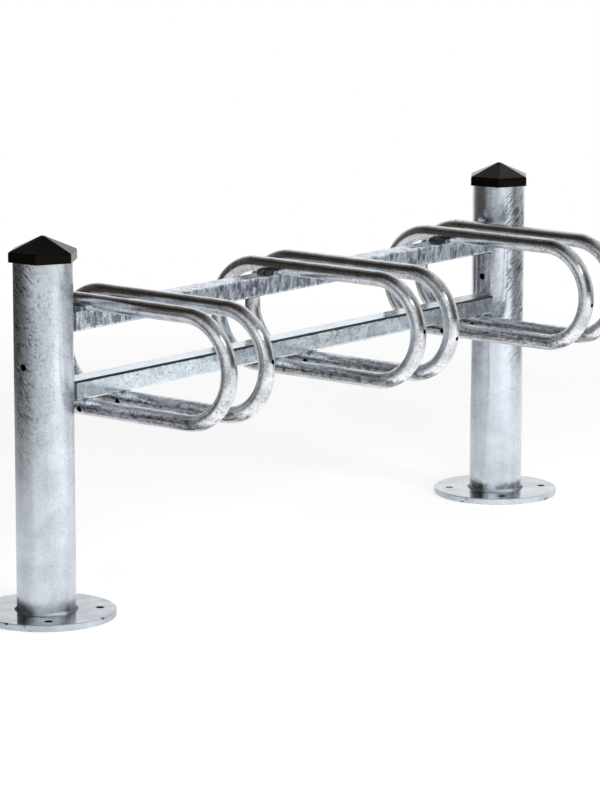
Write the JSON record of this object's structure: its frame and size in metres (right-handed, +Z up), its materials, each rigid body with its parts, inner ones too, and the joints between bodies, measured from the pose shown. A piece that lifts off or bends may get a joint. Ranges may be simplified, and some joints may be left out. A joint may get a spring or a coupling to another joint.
{
  "type": "bicycle rack",
  "caption": "Floor-mounted bicycle rack: pairs of closed tube hoops that straddle box rails between capped round posts, each post on a bolted round base plate.",
  "frame": {"origin": "on the ground, in the middle of the rack's outline seen from above", "axes": "+X along the rails from the left post to the right post, -Y towards the side where the hoops reach out furthest and wheels are pushed in, +Z up"},
  "size_m": [1.345, 0.428, 0.574],
  "materials": {
    "post_zinc": "hot-dip galvanised steel, satin, with a fine spangle",
    "plate_zinc": "hot-dip galvanised steel, satin, with a fine spangle",
    "rail_zinc": "hot-dip galvanised steel, satin, with a fine spangle",
    "hoop_zinc": "hot-dip galvanised steel, smooth and fairly shiny",
    "weld_zinc": "galvanised weld bead, rippled",
    "cap_plastic": "moulded black plastic, semi-gloss"
  },
  "bodies": {
    "root": {"left_post": "post_zinc", "right_post": "post_zinc", "left_base_plate": "plate_zinc", "right_base_plate": "plate_zinc", "left_cap": "cap_plastic", "right_cap": "cap_plastic", "upper_rail": "rail_zinc", "lower_rail": "rail_zinc", "left_place_left_hoop": "hoop_zinc", "left_place_right_hoop": "hoop_zinc", "middle_place_left_hoop": "hoop_zinc", "middle_place_right_hoop": "hoop_zinc", "right_place_left_hoop": "hoop_zinc", "right_place_right_hoop": "hoop_zinc", "left_post_weld": "weld_zinc", "right_post_weld": "weld_zinc", "upper_rail_left_weld": "weld_zinc", "upper_rail_right_weld": "weld_zinc", "lower_rail_left_weld": "weld_zinc", "lower_rail_right_weld": "weld_zinc", "left_place_left_hoop_welds": "weld_zinc", "left_place_right_hoop_welds": "weld_zinc", "middle_place_left_hoop_welds": "weld_zinc", "middle_place_right_hoop_welds": "weld_zinc", "right_place_left_hoop_welds": "weld_zinc", "right_place_right_hoop_welds": "weld_zinc"}
  },
  "joints": []
}
